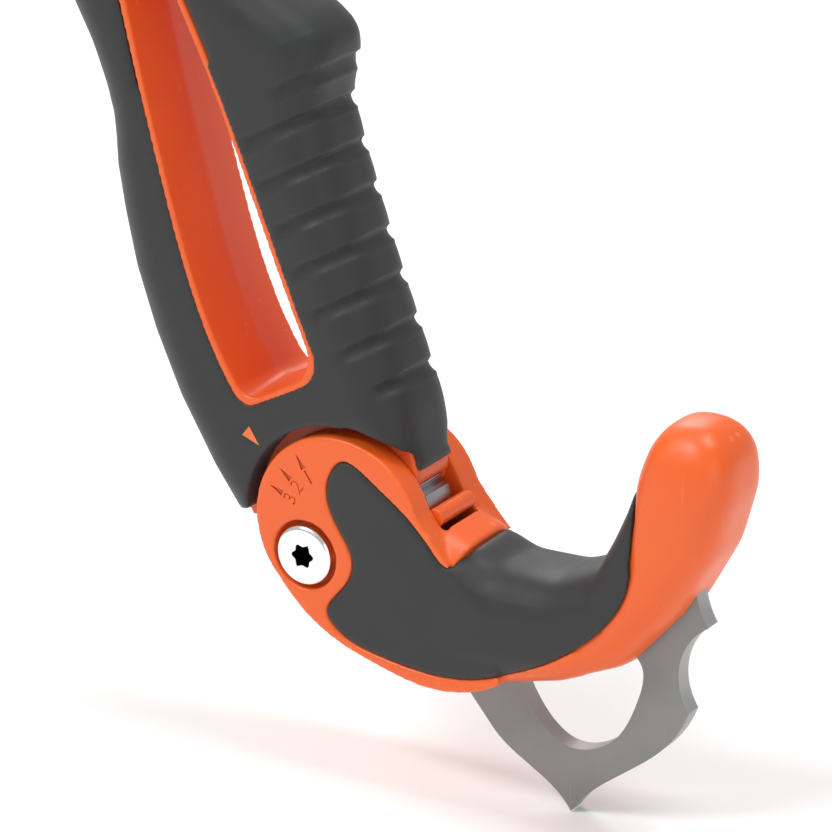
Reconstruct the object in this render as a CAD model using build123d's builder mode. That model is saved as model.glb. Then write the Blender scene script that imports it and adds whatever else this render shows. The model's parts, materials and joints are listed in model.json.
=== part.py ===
from build123d import *
from math import atan2, cos, degrees, hypot, radians, sin
import os

# Technical ice axe with a bowed shaft and an adjustable hand rest.
# Frame: +Z up, +X towards the pick, the tool's middle plane is Y = 0.
# The origin is the centre of the hand grip. Millimetres.

os.makedirs("parts", exist_ok=True)

# ---- grip -------------------------------------------------------------------
grip_lean = 22.8         # the grip leans back from upright by this angle, degrees
grip_width = 24.6        # across Y
grip_corner = 9.0        # rounding of the grip's section
grip_front = 24.4        # front face, from the grip's centre line
grip_back = 27.0         # back face, from the same line
grip_end = 41.0          # bottom edge of the grip, below its centre
ledge_reach = 34.6       # finger ledge, from the centre line
ledge_height = 43.0      # finger ledge, above the grip's centre
handle_top = 130.0       # top of the handle, above the grip's centre
cover_wall = 2.2         # thickness of the soft cover over the core
loop_lining = 1.6        # rim of the core around the finger loop
rib_count = 7
rib_pitch = 8.8
rib_depth = 0.4
rib_reach = 11.0         # grooves run back this far from the front
rib_height = 2.4
rib_lowest = -24.3

# ---- finger loop ------------------------------------------------------------
loop_front = 10.0
loop_back = 9.9
loop_bottom = -17.8
loop_top = 78.0

# ---- hand rest mechanism ----------------------------------------------------
pivot_forward = 2.6      # hand rest pivot, forward of the grip's centre line
pivot_drop = 46.5        # and below the grip's centre
size_step = 17.0         # turn from one hand size to the next, degrees
rest_width = 24.3        # across Y
head_radius = 18.7       # round head of the hand rest
head_corner = 2.5
recess_gap = 2.1         # round recess in the handle, beyond the head
recess_lining = 1.4      # soft cover on the recess's round wall
tongue_thickness = 12.0
tongue_radius = 16.8
side_clearance = 0.2     # between tongue and cheeks, each side
round_clearance = 0.6    # between tongue and the web of the hand rest
pin_radius = 3.0
pin_fit = 0.05           # running fit, radial
pin_end_cover = 3.0      # cheek left over the blind end of the pin
cap_thickness = 2.0
clamp_back = 7.5         # clamp screw, behind the pivot
clamp_drop = 7.0         # and below it
screw_radius = 3.0
screw_slack = 0.3        # screw in the tongue's curved slot, radial
screw_head_radius = 6.05
screw_head_height = 3.6
screw_head_proud = 0.6
counterbore_slack = 1.0  # around the screw head, radial
socket_depth = 2.2
nut_flats = 10.0
nut_height = 4.0
nut_slack = 0.1

# ---- rack and rib -----------------------------------------------------------
rack_width = 8.4
rack_tip_radius = 17.0
rack_root_radius = 11.2
rack_low = -32.0         # lowest angle of the rack about the pivot, degrees
rack_high = 34.0
rack_shoulder = 2.4      # how far the teeth stand out of the tongue
notch_depth = 1.6
notch_half = 1.2
tall_tip_radius = 18.4   # the narrow tooth below the rib
tall_low = 9.9           # its lower and upper side below the rib, degrees
tall_high = 6.1
rib_angle = 12.5         # rib seated in the middle notch, degrees
rib_radius = 1.8
rib_gap = 0.2            # rib to tooth tips
rib_nose_gap = 0.2       # nose of the rib to the notch
window_clearance = 0.3   # rib to the front wall of the window
window_low = -17.5       # lower side of the window, degrees
rack_pin_radius = 1.25
rack_pin_angles = (-20.0, 22.0)

# ---- arm and horn of the hand rest ------------------------------------------
arm_width = 25.0
horn_width = 22.0
pad_thickness = 1.8

# ---- spike ------------------------------------------------------------------
spike_thickness = 4.0
spike_slot_slack = 0.05
spike_pin_radius = 2.0

# ---- shaft ------------------------------------------------------------------
shaft_depth = 22.0       # along X
shaft_width = 16.8       # across Y
shaft_corner = 7.5
shaft_wall = 1.8
shaft_line = -6.5        # shaft axis, from the grip's centre line
shaft_foot = 86.0        # lower end of the shaft, above the grip's centre
bow_radius = 220.0
head_lean = 14.0         # the upper shaft leans forward by this angle, degrees
shaft_straight = 110.0   # straight length above the bow
shaft_fit = 0.1
socket_wall = 1.5        # core around the shaft
upper_grip_length = 95.0
upper_grip_wall = 1.5
upper_grip_start = 38.0  # above the handle, along the bow
shaft_pin_radius = 2.0
shaft_pin_heights = (100.0, 118.0)

# ---- head -------------------------------------------------------------------
head_width = 23.0
skirt_length = 38.0      # head's sleeve down the shaft
skirt_wall = 2.4
socket_roof = 4.0        # shaft end, above the head's datum
blade_thickness = 4.0
blade_slack = 0.05
blade_floor = 8.5        # bottom of the blade slot
head_top = 30.0
clip_radius = 7.5
clip_back = 28.0
clip_height = 0.0
pick_reach = 150.0
pick_tip_drop = 38.0
tooth_count = 13
bolt_radius = 3.0
bolt_head_radius = 5.5
bolt_head_height = 2.6
head_nut_flats = 10.0
head_nut_height = 5.0
bolt_places = ((-9.0, 19.5), (13.0, 18.0), (-39.0, 21.0))
weight_thickness = 6.0
weight_places = ((34.0, 13.5), (52.0, 8.0))
weight_bolt_radius = 2.5
hammer_face = 20.0
hammer_length = 24.0
rivet_radius = 2.5
rivet_head_radius = 4.5
rivet_head_height = 1.4
rivet_drops = (14.0, 30.0)

# ---- places worked out from the sizes above ---------------------------------
side = (0, -1, 0)        # sketches face the near side, -Y
handle_plane = Plane(
    origin=(0, 0, 0),
    x_dir=(cos(radians(grip_lean)), 0, sin(radians(grip_lean))),
    z_dir=side,
)
recess_radius = head_radius + recess_gap
pivot_x = pivot_forward * cos(radians(grip_lean)) + pivot_drop * sin(radians(grip_lean))
pivot_z = pivot_forward * sin(radians(grip_lean)) - pivot_drop * cos(radians(grip_lean))
pivot_plane = Plane(origin=(pivot_x, 0, pivot_z), x_dir=(1, 0, 0), z_dir=side)
clamp_plane = Plane(
    origin=(pivot_x - clamp_back, 0, pivot_z - clamp_drop), x_dir=(1, 0, 0), z_dir=side
)
clamp_orbit = hypot(clamp_back, clamp_drop)
clamp_angle = 180 + degrees(atan2(clamp_drop, clamp_back))
gap_half = tongue_thickness / 2 + side_clearance
rest_half = rest_width / 2
grip_half = grip_width / 2
through = grip_width + 20
neck_half = shaft_depth / 2 + shaft_fit + socket_wall + cover_wall


def section_plane(height):
    """Plane across the handle, with x forward and y across the tool."""
    return Plane(
        origin=handle_plane.from_local_coords((0, height, 0)),
        x_dir=handle_plane.x_dir,
        z_dir=handle_plane.y_dir,
    )


# Back and front of the handle at each height above the grip's centre.
handle_stations = (
    (-grip_end - 12, -grip_back + 7.0, grip_front - 4.2),
    (-grip_end, -grip_back + 5.2, grip_front - 2.6),
    (-grip_end + 12, -grip_back + 2.4, grip_front),
    (-14, -grip_back + 0.3, grip_front + 0.6),
    (0, -grip_back, grip_front + 1.1),
    (ledge_height - 30, -grip_back + 0.9, grip_front + 2.0),
    (ledge_height - 19, -grip_back + 2.9, grip_front + 2.9),
    (ledge_height - 10, -grip_back + 5.0, ledge_reach - 6.0),
    (ledge_height - 4, -grip_back + 7.2, ledge_reach - 1.6),
    (ledge_height, -grip_back + 8.4, ledge_reach),
    (ledge_height + 5, -grip_back + 9.0, ledge_reach - 1.6),
    (ledge_height + 14, -grip_back + 9.3, ledge_reach - 9.0),
    (ledge_height + 27, -grip_back + 8.1, ledge_reach - 18.0),
    (shaft_foot, shaft_line - neck_half, shaft_line + neck_half),
)


def front_at(height):
    """Front of the handle at a height, between its stations."""
    for (low, _, front_low), (high, _, front_high) in zip(handle_stations, handle_stations[1:]):
        if low <= height <= high:
            share = (height - low) / (high - low)
            return front_low + share * (front_high - front_low)
    return grip_front


# ---- forms shared by the handle's pieces -------------------------------------
with BuildPart() as handle_form:
    for height, back, front in handle_stations:
        middle = (back + front) / 2
        with BuildSketch(section_plane(height)):
            with Locations((middle, 0)):
                RectangleRounded(front - back, grip_width, grip_corner)
    loft(ruled=True)
    with BuildSketch(section_plane(shaft_foot)):
        with Locations((shaft_line, 0)):
            RectangleRounded(2 * neck_half, grip_width, grip_corner)
    extrude(amount=handle_top - shaft_foot)

with BuildPart() as core_form:
    for height, back, front in handle_stations:
        middle = (back + front) / 2
        with BuildSketch(section_plane(height)):
            with Locations((middle, 0)):
                RectangleRounded(
                    front - back - 2 * cover_wall,
                    grip_width - 2 * cover_wall,
                    grip_corner - cover_wall,
                )
    loft(ruled=True)
    with BuildSketch(section_plane(shaft_foot)):
        with Locations((shaft_line, 0)):
            RectangleRounded(
                2 * (neck_half - cover_wall),
                grip_width - 2 * cover_wall,
                grip_corner - cover_wall,
            )
    extrude(amount=handle_top - shaft_foot)

def loop_sketch(grow):
    """Side view of the finger loop's opening, grown all round."""
    back = -loop_back - grow
    front = loop_front + grow
    bottom = loop_bottom - grow
    top = loop_top + grow
    with BuildSketch(handle_plane) as outline:
        with BuildLine():
            rear = Spline(
                (back + 1.2, bottom + 3.2),
                (back, bottom + 12),
                (back + 1.6, loop_bottom + 42),
                (back + 7.0, loop_top - 17),
                (-0.6 - grow, top - 5),
            )
            crown = ThreePointArc(rear @ 1, (3.2, top), (6.8 + grow, top - 5))
            wall = Spline(
                crown @ 1,
                (front - 1.4, loop_top - 17),
                (front, loop_bottom + 50),
                (front, bottom + 7),
            )
            heel = ThreePointArc(wall @ 1, (front - 1.6, bottom + 2.9), (front - 5.5, bottom + 1.0))
            sill = Line(heel @ 1, (back + 5.5, bottom))
            ThreePointArc(sill @ 1, (back + 2.8, bottom + 0.9), rear @ 0)
        make_face()
    return outline.sketch_local


loop_outline = loop_sketch(0)
lining_outline = loop_sketch(loop_lining)

# Everything below the handle's bottom edge.
with BuildPart() as below_handle:
    with BuildSketch(handle_plane):
        with BuildLine():
            Polyline(
                (-grip_back - 20, -grip_end + 3.5),
                (grip_front + 20, -grip_end - 0.5),
                (grip_front + 20, -grip_end - 60),
                (-grip_back - 20, -grip_end - 60),
                close=True,
            )
        make_face()
    extrude(amount=through, both=True)

# Round recess on each side, where the cheeks of the hand rest turn.
with BuildPart() as cheek_recess:
    with BuildSketch(pivot_plane.offset(tongue_thickness / 2)):
        Circle(recess_radius)
    extrude(amount=grip_width)
    mirror(about=Plane.XZ)

# The same recess in the core, which the cover lines.
with BuildPart() as core_recess:
    with BuildSketch(pivot_plane.offset(tongue_thickness / 2)):
        Circle(recess_radius + recess_lining)
    extrude(amount=grip_width)
    mirror(about=Plane.XZ)

# Curved slot in the tongue, round the pivot, for the clamp screw.
slot_half_turn = size_step + 1
slot_half_width = screw_radius + screw_slack
with BuildSketch(pivot_plane) as screw_slot:
    Circle(clamp_orbit + slot_half_width)
    Circle(clamp_orbit - slot_half_width, mode=Mode.SUBTRACT)
    with BuildLine():
        Polyline(
            (0, 0),
            *[
                (40 * cos(radians(clamp_angle + turn)), 40 * sin(radians(clamp_angle + turn)))
                for turn in (-slot_half_turn, slot_half_turn)
            ],
            close=True,
        )
    make_face(mode=Mode.INTERSECT)
    for turn in (-slot_half_turn, slot_half_turn):
        end = radians(clamp_angle + turn)
        with Locations((clamp_orbit * cos(end), clamp_orbit * sin(end))):
            Circle(slot_half_width)

# ---- handle core -------------------------------------------------------------
with BuildPart() as handle_core:
    add(core_form.part)
    add(below_handle.part, mode=Mode.SUBTRACT)
    add(core_recess.part, mode=Mode.SUBTRACT)
    with BuildSketch(handle_plane):
        add(lining_outline)
    extrude(amount=grip_half - 0.2, both=True)
    # tongue
    with BuildSketch(handle_plane):
        with Locations((pivot_forward, -pivot_drop)):
            Circle(tongue_radius)
        with BuildLine():
            Polyline(
                (-grip_back + 6.5, -grip_end - 0.4),
                (-grip_back + cover_wall + 2.8, -grip_end + 8),
                (grip_front - cover_wall - 0.8, -grip_end + 8),
                (grip_front - 3.4, -grip_end + 0.4),
                (grip_front - 4.3, -grip_end - 1.9),
                close=True,
            )
        make_face()
    extrude(amount=tongue_thickness / 2, both=True)
    with BuildSketch(handle_plane):
        add(loop_outline)
    extrude(amount=through, both=True, mode=Mode.SUBTRACT)
    # shoulder that leaves the rack's teeth free
    with BuildSketch(pivot_plane):
        Circle(tongue_radius + 6)
        Circle(rack_tip_radius - rack_shoulder, mode=Mode.SUBTRACT)
        with BuildLine():
            Polyline(
                (0, 0),
                (60 * cos(radians(rack_low - 2)), 60 * sin(radians(rack_low - 2))),
                (60 * cos(radians(rack_high - 4)), 60 * sin(radians(rack_high - 4))),
                close=True,
            )
        make_face(mode=Mode.INTERSECT)
    extrude(amount=through, both=True, mode=Mode.SUBTRACT)
    # pocket of the rack
    with BuildSketch(pivot_plane):
        Circle(rack_tip_radius + 8)
        Circle(rack_root_radius, mode=Mode.SUBTRACT)
        with BuildLine():
            Polyline(
                (0, 0),
                (60 * cos(radians(rack_low)), 60 * sin(radians(rack_low))),
                (60 * cos(radians(rack_high)), 60 * sin(radians(rack_high))),
                close=True,
            )
        make_face(mode=Mode.INTERSECT)
    extrude(amount=rack_width / 2, both=True, mode=Mode.SUBTRACT)
    # pivot bore and the curved slot of the clamp screw
    with BuildSketch(pivot_plane):
        Circle(pin_radius + pin_fit)
        add(screw_slot.sketch_local)
        for angle in rack_pin_angles:
            middle_radius = (rack_root_radius + rack_tip_radius - rack_shoulder) / 2
            with Locations((middle_radius * cos(radians(angle)), middle_radius * sin(radians(angle)))):
                Circle(rack_pin_radius)
    extrude(amount=tongue_thickness / 2 + 1, both=True, mode=Mode.SUBTRACT)
    # socket of the shaft
    with BuildSketch(section_plane(shaft_foot)):
        with Locations((shaft_line, 0)):
            RectangleRounded(
                shaft_depth + 2 * shaft_fit, shaft_width + 2 * shaft_fit, shaft_corner + shaft_fit
            )
    extrude(amount=handle_top, mode=Mode.SUBTRACT)
    for height in shaft_pin_heights:
        with BuildSketch(handle_plane):
            with Locations((shaft_line, height)):
                Circle(shaft_pin_radius)
        extrude(amount=through, both=True, mode=Mode.SUBTRACT)
handle_core.part.label = "handle_core"
export_step(handle_core.part, "parts/handle_core.step")

# ---- index mark, one on each side of the cover ---------------------------------
mark_reach = recess_radius + 4.2
mark_angle = 141.6       # about the pivot, degrees
mark_depth = 0.4
with BuildPart() as index_mark:
    with BuildSketch(pivot_plane.offset(grip_half - mark_depth)):
        with Locations((mark_reach * cos(radians(mark_angle)), mark_reach * sin(radians(mark_angle)))):
            Triangle(a=2.6, b=4.2, c=4.2, rotation=mark_angle + 90)
    extrude(amount=mark_depth)
    mirror(about=Plane.XZ)
index_mark.part.label = "index_mark"
export_step(index_mark.part, "parts/index_mark.step")

# ---- soft cover of the grip ---------------------------------------------------
groove_heights = [rib_lowest + rib_pitch * n for n in range(rib_count)]
with BuildPart() as groove_cutters:
    for height in groove_heights:
        front = front_at(height)
        with BuildSketch(section_plane(height)):
            with Locations((front, 0)):
                Rectangle(2 * rib_reach, grip_width + 4)
            with Locations((front - grip_width, 0)):
                RectangleRounded(
                    2 * (grip_width - rib_depth),
                    grip_width - 2 * rib_depth,
                    grip_corner - rib_depth,
                    mode=Mode.SUBTRACT,
                )
        extrude(amount=rib_height)

with BuildPart() as grip_cover:
    add(handle_form.part)
    add(below_handle.part, mode=Mode.SUBTRACT)
    add(cheek_recess.part, mode=Mode.SUBTRACT)
    with BuildSketch(handle_plane):
        add(loop_outline)
    extrude(amount=through, both=True, mode=Mode.SUBTRACT)
    add(handle_core.part, mode=Mode.SUBTRACT)
    with BuildSketch(section_plane(shaft_foot)):
        with Locations((shaft_line, 0)):
            RectangleRounded(
                shaft_depth + 2 * shaft_fit, shaft_width + 2 * shaft_fit, shaft_corner + shaft_fit
            )
    extrude(amount=handle_top, mode=Mode.SUBTRACT)
    for height in shaft_pin_heights:
        with BuildSketch(handle_plane):
            with Locations((shaft_line, height)):
                Circle(shaft_pin_radius)
        extrude(amount=grip_half - cover_wall, both=True, mode=Mode.SUBTRACT)
    add(groove_cutters.part, mode=Mode.SUBTRACT)
    add(index_mark.part, mode=Mode.SUBTRACT)
grip_cover.part.label = "grip_cover"
export_step(grip_cover.part, "parts/grip_cover.step")


# ---- rack ----------------------------------------------------------------------
with BuildPart() as rack:
    with BuildSketch(pivot_plane):
        Circle(rack_tip_radius)
        Circle(rack_root_radius, mode=Mode.SUBTRACT)
        with BuildLine():
            Polyline(
                (0, 0),
                (60 * cos(radians(rack_low)), 60 * sin(radians(rack_low))),
                (60 * cos(radians(rack_high)), 60 * sin(radians(rack_high))),
                close=True,
            )
        make_face(mode=Mode.INTERSECT)
        for step in (-1, 0, 1):
            turn = radians(rib_angle + step * size_step)
            across = (-sin(turn), cos(turn))
            root = ((rack_tip_radius - notch_depth) * cos(turn), (rack_tip_radius - notch_depth) * sin(turn))
            out = ((rack_tip_radius + 1) * cos(turn), (rack_tip_radius + 1) * sin(turn))
            half = notch_half * (notch_depth + 1) / notch_depth
            with BuildLine():
                Polyline(
                    root,
                    (out[0] + half * across[0], out[1] + half * across[1]),
                    (out[0] - half * across[0], out[1] - half * across[1]),
                    close=True,
                )
            make_face(mode=Mode.SUBTRACT)
        for angle in rack_pin_angles:
            middle_radius = (rack_root_radius + rack_tip_radius - rack_shoulder) / 2
            with Locations((middle_radius * cos(radians(angle)), middle_radius * sin(radians(angle)))):
                Circle(rack_pin_radius, mode=Mode.SUBTRACT)
    extrude(amount=rack_width / 2, both=True)
    with BuildSketch(pivot_plane):
        Circle(tall_tip_radius)
        Circle(rack_root_radius + notch_depth, mode=Mode.SUBTRACT)
        low_side = radians(rib_angle - tall_low)
        high_side = radians(rib_angle - tall_high)
        with BuildLine():
            Polyline(
                (0, 0),
                (60 * cos(low_side), 60 * sin(low_side)),
                (60 * cos(high_side), 60 * sin(high_side)),
                close=True,
            )
        make_face(mode=Mode.INTERSECT)
    extrude(amount=rack_width / 2, both=True)
rack.part.label = "rack"
export_step(rack.part, "parts/rack.step")

with BuildPart() as rack_pins:
    with BuildSketch(pivot_plane):
        for angle in rack_pin_angles:
            middle_radius = (rack_root_radius + rack_tip_radius - rack_shoulder) / 2
            with Locations((middle_radius * cos(radians(angle)), middle_radius * sin(radians(angle)))):
                Circle(rack_pin_radius)
    extrude(amount=tongue_thickness / 2, both=True)
rack_pins.part.label = "rack_pins"
export_step(rack_pins.part, "parts/rack_pins.step")

# ---- hand rest: outer form -------------------------------------------------------
# Sections of the arm and horn about the pivot: centre, lean of the section, height, width.
arm_stations = (
    ((10.0, -9.6), 90.0, 34.2, rest_width),
    ((22.5, -13.1), 90.0, 30.6, rest_width),
    ((34.0, -14.6), 92.0, 24.4, arm_width),
    ((46.5, -12.8), 96.0, 20.6, arm_width),
    ((57.6, -8.0), 110.0, 19.6, arm_width - 0.6),
    ((64.8, 1.8), 136.0, 19.0, arm_width - 1.4),
    ((69.8, 11.8), 158.0, 19.4, horn_width + 0.8),
    ((72.5, 21.8), 172.0, 19.8, horn_width),
    ((73.0, 27.6), 180.0, 17.8, horn_width - 2.0),
    ((73.0, 31.2), 180.0, 13.4, horn_width - 6.2),
    ((72.8, 33.4), 180.0, 7.2, horn_width - 12.6),
)


def arm_plane(centre, lean):
    """Plane across the arm, with x along the section's height and y across the tool."""
    x, z = centre
    return Plane(
        origin=(pivot_x + x, 0, pivot_z + z),
        x_dir=(cos(radians(lean)), 0, sin(radians(lean))),
        z_dir=(sin(radians(lean)), 0, -cos(radians(lean))),
    )


# Lower edge of the flat part behind the arm, about the pivot, from the round head forward.
keel_edge = (
    (-head_radius, 0),
    (-17.2, -6.5),
    (-13.6, -12.8),
    (-8.2, -18.6),
    (-1.2, -23.2),
    (8.5, -26.6),
    (20.0, -28.9),
    (28.0, -28.2),
    (36.5, -24.6),
)


def drawn_in(points, inset):
    """The same open line, moved to its left by an inset."""
    moved = []
    for n, (x, z) in enumerate(points):
        before = points[max(n - 1, 0)]
        after = points[min(n + 1, len(points) - 1)]
        run = (after[0] - before[0], after[1] - before[1])
        length = hypot(*run)
        moved.append((x - inset * run[1] / length, z + inset * run[0] / length))
    return moved


def keel_outline(inset):
    """Side view of the flat part behind the arm, drawn in by an inset."""
    with BuildSketch(pivot_plane) as outline:
        Circle(head_radius - inset)
        with BuildLine():
            edge = Spline(*drawn_in(keel_edge, inset))
            Polyline(edge @ 1, (34.0, -10.0), (24.8, -2.4), (20.8, 2.2), (16.4, 7.6), edge @ 0)
        make_face()
    return outline.sketch_local


def rest_form(inset):
    """Whole hand rest, drawn in by an inset all round."""
    with BuildPart() as form:
        for centre, lean, height, width in arm_stations:
            corner = min(height, width) * 0.36 - inset
            with BuildSketch(arm_plane(centre, lean)):
                RectangleRounded(height - 2 * inset, width - 2 * inset, max(corner, 0.4))
        loft(ruled=True)
        with BuildSketch(pivot_plane):
            add(keel_outline(inset))
        extrude(amount=rest_half - inset, both=True)
    return form.part


rest_outer = rest_form(0)
rest_heart = rest_form(pad_thickness)

# Side view of the soft pad, about the pivot.
with BuildPart() as pad_prism:
    with BuildSketch(pivot_plane):
        with BuildLine():
            Spline(
                (28.4, 4.0),
                (26.6, -0.8),
                (24.8, -3.0),
                (21.8, -0.9),
                (17.9, 3.4),
                (6.7, 11.8),
                (1.0, 14.0),
                (-1.9, 10.6),
                (-2.4, 5.4),
                (1.0, -1.5),
                (3.2, -6.1),
                (2.8, -9.3),
                (0.0, -13.5),
                (-2.6, -18.0),
                (0.2, -21.6),
                (8.0, -24.4),
                (18.8, -25.8),
                (29.1, -25.2),
                (41.2, -20.7),
                (49.0, -16.3),
                (56.4, -10.4),
                (61.2, -4.6),
                (63.6, 1.2),
                (64.2, 8.4),
                (63.4, 15.3),
                (62.4, 19.1),
                (58.0, 22.0),
            )
            Polyline((58.0, 22.0), (32.0, 14.0), (28.4, 4.0))
        make_face()
    extrude(amount=through, both=True)

# ---- spaces inside the hand rest ---------------------------------------------------
with BuildPart() as fork_gap:
    with BuildSketch(pivot_plane):
        Circle(tongue_radius + round_clearance)
        # open top and back, where the tongue comes in
        with BuildLine():
            Polyline(
                (0, 0),
                (60 * cos(radians(62)), 60 * sin(radians(62))),
                (-60, 60),
                (60 * cos(radians(211)), 60 * sin(radians(211))),
                close=True,
            )
        make_face()
    extrude(amount=gap_half, both=True)
    # window of the rack
    window_radius = rack_tip_radius + rib_gap + 2 * rib_radius + window_clearance
    with BuildSketch(pivot_plane):
        Circle(window_radius)
        with BuildLine():
            Polyline(
                (0, 0),
                (60 * cos(radians(window_low)), 60 * sin(radians(window_low))),
                (60, 0),
                (60 * cos(radians(66)), 60 * sin(radians(66))),
                close=True,
            )
        make_face(mode=Mode.INTERSECT)
    extrude(amount=gap_half, both=True)

# ---- spike -------------------------------------------------------------------------
spike_pin_places = ((27.5, -22.5), (58.0, -6.0))
with BuildSketch(pivot_plane) as spike_outline:
    with BuildLine():
        Line((23.2, -31.5), (28.8, -38.2))
        Spline((28.8, -38.2), (37.1, -44.6), (43.0, -48.3), (46.9, -52.5))
        Spline((46.9, -52.5), (50.2, -48.4), (57.4, -42.4), (72.2, -26.0))
        ThreePointArc((72.2, -26.0), (70.0, -16.8), (75.9, -7.6))
        Spline((75.9, -7.6), (74.0, -3.6), (73.2, 1.0))
        Polyline((73.2, 1.0), (64.0, 2.0), (52.0, -4.0), (36.0, -14.0), (20.0, -19.0), (23.2, -31.5))
    make_face()
with BuildPart() as spike:
    with BuildSketch(pivot_plane):
        add(spike_outline.sketch_local)
        with BuildLine(mode=Mode.PRIVATE) as hole_line:
            Spline(
                (34.6, -25.2),
                (38.4, -33.0),
                (46.4, -38.9),
                (54.8, -36.4),
                (60.9, -26.6),
                (61.4, -17.6),
                (56.0, -15.2),
                (44.0, -19.6),
                periodic=True,
            )
        make_face(hole_line.edges(), mode=Mode.SUBTRACT)
        with Locations(*spike_pin_places):
            Circle(spike_pin_radius, mode=Mode.SUBTRACT)
    extrude(amount=spike_thickness / 2, both=True)
spike.part.label = "spike"
export_step(spike.part, "parts/spike.step")

with BuildPart() as spike_slot:
    with BuildSketch(pivot_plane):
        add(spike_outline.sketch_local)
    extrude(amount=spike_thickness / 2 + spike_slot_slack, both=True)

with BuildPart() as spike_pins:
    with BuildSketch(pivot_plane):
        with Locations(*spike_pin_places):
            Circle(spike_pin_radius)
    extrude(amount=8.0, both=True)
spike_pins.part.label = "spike_pins"
export_step(spike_pins.part, "parts/spike_pins.step")

# ---- pivot pin and its cap ------------------------------------------------------------
pin_near_end = rest_half - pin_end_cover
pin_far_end = rest_half - cap_thickness
with BuildPart() as pivot_pin:
    with BuildSketch(pivot_plane.offset(-pin_far_end)):
        Circle(pin_radius)
    extrude(amount=pin_near_end + pin_far_end)
pivot_pin.part.label = "pivot_pin"
export_step(pivot_pin.part, "parts/pivot_pin.step")

with BuildPart() as pivot_cap:
    with BuildSketch(pivot_plane.offset(-rest_half)):
        Circle(pin_radius)
    extrude(amount=cap_thickness)
pivot_cap.part.label = "pivot_cap"
export_step(pivot_cap.part, "parts/pivot_cap.step")

# ---- clamp screw and nut ----------------------------------------------------------------
head_seat = rest_half + screw_head_proud - screw_head_height
with BuildPart() as clamp_screw:
    with BuildSketch(clamp_plane.offset(head_seat)):
        Circle(screw_head_radius)
    extrude(amount=screw_head_height)
    rim = clamp_screw.edges().sort_by(Axis.Y)[0]
    fillet(rim, 0.8)
    with BuildSketch(clamp_plane.offset(rest_half + screw_head_proud - socket_depth)):
        Circle(1.9)
        with PolarLocations(2.1, 6):
            Circle(0.75)
    extrude(amount=socket_depth, mode=Mode.SUBTRACT)
    with BuildSketch(clamp_plane.offset(-rest_half + 1.0)):
        Circle(screw_radius)
    extrude(amount=head_seat + rest_half - 1.0)
clamp_screw.part.label = "clamp_screw"
export_step(clamp_screw.part, "parts/clamp_screw.step")

with BuildPart() as clamp_nut:
    with BuildSketch(clamp_plane.offset(-rest_half)):
        RegularPolygon(nut_flats / 2, 6, major_radius=False)
        Circle(screw_radius + pin_fit, mode=Mode.SUBTRACT)
    extrude(amount=nut_height)
clamp_nut.part.label = "clamp_nut"
export_step(clamp_nut.part, "parts/clamp_nut.step")

# ---- bores and recesses of the hand rest --------------------------------------------------
with BuildPart() as rest_bores:
    add(fork_gap.part)
    add(spike_slot.part)
    add(spike_pins.part)
    with BuildSketch(pivot_plane.offset(-rest_half - 1)):
        Circle(pin_radius)
    extrude(amount=rest_half + 1 + pin_near_end)
    with BuildSketch(clamp_plane.offset(head_seat)):
        Circle(screw_head_radius + counterbore_slack)
    extrude(amount=10)
    with BuildSketch(clamp_plane):
        Circle(screw_radius + pin_fit)
    extrude(amount=through, both=True)
    with BuildSketch(clamp_plane.offset(-rest_half + nut_height)):
        RegularPolygon(nut_flats / 2 + nut_slack, 6, major_radius=False)
    extrude(amount=-20)

with BuildPart() as handrest_pad:
    add(rest_outer)
    add(pad_prism.part, mode=Mode.INTERSECT)
    add(rest_heart, mode=Mode.SUBTRACT)
    add(rest_bores.part, mode=Mode.SUBTRACT)
handrest_pad.part.label = "handrest_pad"
export_step(handrest_pad.part, "parts/handrest_pad.step")

with BuildPart() as handrest_body:
    add(rest_outer)
    add(handrest_pad.part, mode=Mode.SUBTRACT)
    add(rest_bores.part, mode=Mode.SUBTRACT)
handrest_body.part.label = "handrest_body"
export_step(handrest_body.part, "parts/handrest_body.step")

# ---- rib that seats in the rack ---------------------------------------------------------------
rib_orbit = rack_tip_radius + rib_gap + rib_radius
with BuildPart() as index_rib:
    with BuildSketch(pivot_plane):
        turn = radians(rib_angle)
        across = (-sin(turn), cos(turn))
        with Locations((rib_orbit * cos(turn), rib_orbit * sin(turn))):
            Circle(rib_radius)
        nose_tip = rack_tip_radius - notch_depth + rib_nose_gap
        nose = (nose_tip * cos(turn), nose_tip * sin(turn))
        base = (rib_orbit * cos(turn), rib_orbit * sin(turn))
        half = 1.3
        with BuildLine():
            Polyline(
                nose,
                (base[0] + half * across[0], base[1] + half * across[1]),
                (base[0] - half * across[0], base[1] - half * across[1]),
                close=True,
            )
        make_face()
    extrude(amount=gap_half, both=True)
index_rib.part.label = "index_rib"
export_step(index_rib.part, "parts/index_rib.step")

# ---- shaft -------------------------------------------------------------------------------------
bow_turn = grip_lean + head_lean
bow_height = handle_top + 6
with BuildLine() as shaft_path:
    foot = handle_plane.from_local_coords((shaft_line, shaft_foot, 0))
    bow_start = handle_plane.from_local_coords((shaft_line, bow_height, 0))
    bow_centre = handle_plane.from_local_coords((shaft_line + bow_radius, bow_height, 0))
    bow_end = bow_centre + Vector(-cos(radians(head_lean)), 0, sin(radians(head_lean))) * bow_radius
    mid_lean = radians((head_lean - grip_lean) / 2)
    bow_middle = bow_centre + Vector(-cos(mid_lean), 0, sin(mid_lean)) * bow_radius
    shaft_top = bow_end + Vector(sin(radians(head_lean)), 0, cos(radians(head_lean))) * shaft_straight
    Line(foot, bow_start)
    ThreePointArc(bow_start, bow_middle, bow_end)
    Line(bow_end, shaft_top)

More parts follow.
